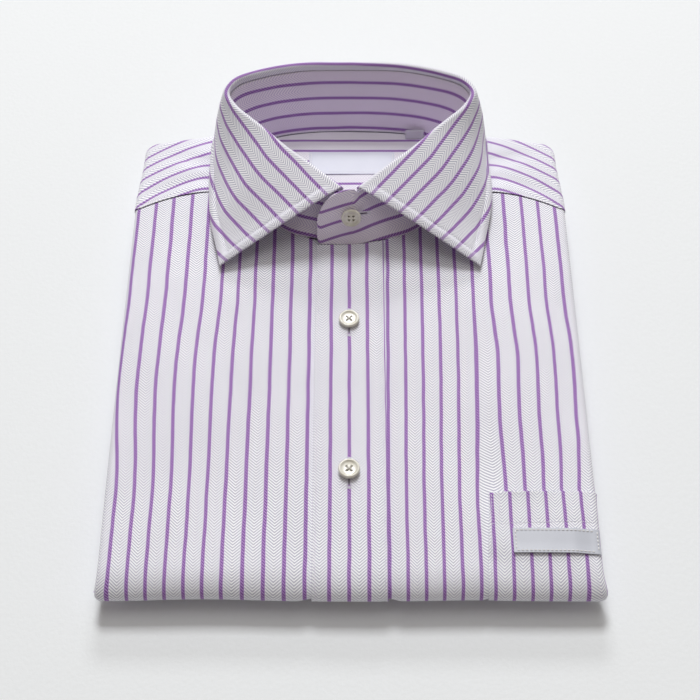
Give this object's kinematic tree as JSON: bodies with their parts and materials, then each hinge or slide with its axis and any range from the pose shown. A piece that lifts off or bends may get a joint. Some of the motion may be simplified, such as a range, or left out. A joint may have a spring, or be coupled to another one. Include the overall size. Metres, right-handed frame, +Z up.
{
  "type": "folded long sleeve dress shirt",
  "caption": "Folded long sleeve dress shirt with a spread collar, buttoned placket and chest pocket, lying face up as a flat packet.",
  "frame": {"origin": "on the surface the shirt lies on, under the middle of the placket, near the middle of the packet", "axes": "+Z up out of the shirt's front, +Y towards the collar, +X towards the wearer's left"},
  "size_m": [0.2571, 0.3313, 0.0723],
  "materials": {
    "shirting": "matte",
    "label": "satin",
    "button": "gloss"
  },
  "bodies": {
    "root": {"folded_bundle": "shirting", "right_front": "shirting", "left_front": "shirting", "front_placket": "shirting", "chest_pocket": "shirting", "pocket_label": "label", "yoke": "shirting", "yoke_lining": "shirting", "collar_stand": "shirting", "collar_leaf": "shirting", "neck_label": "label", "size_tab": "label", "collar_button": "button", "front_button_1": "button", "front_button_2": "button", "front_button_3": "button"}
  },
  "joints": []
}
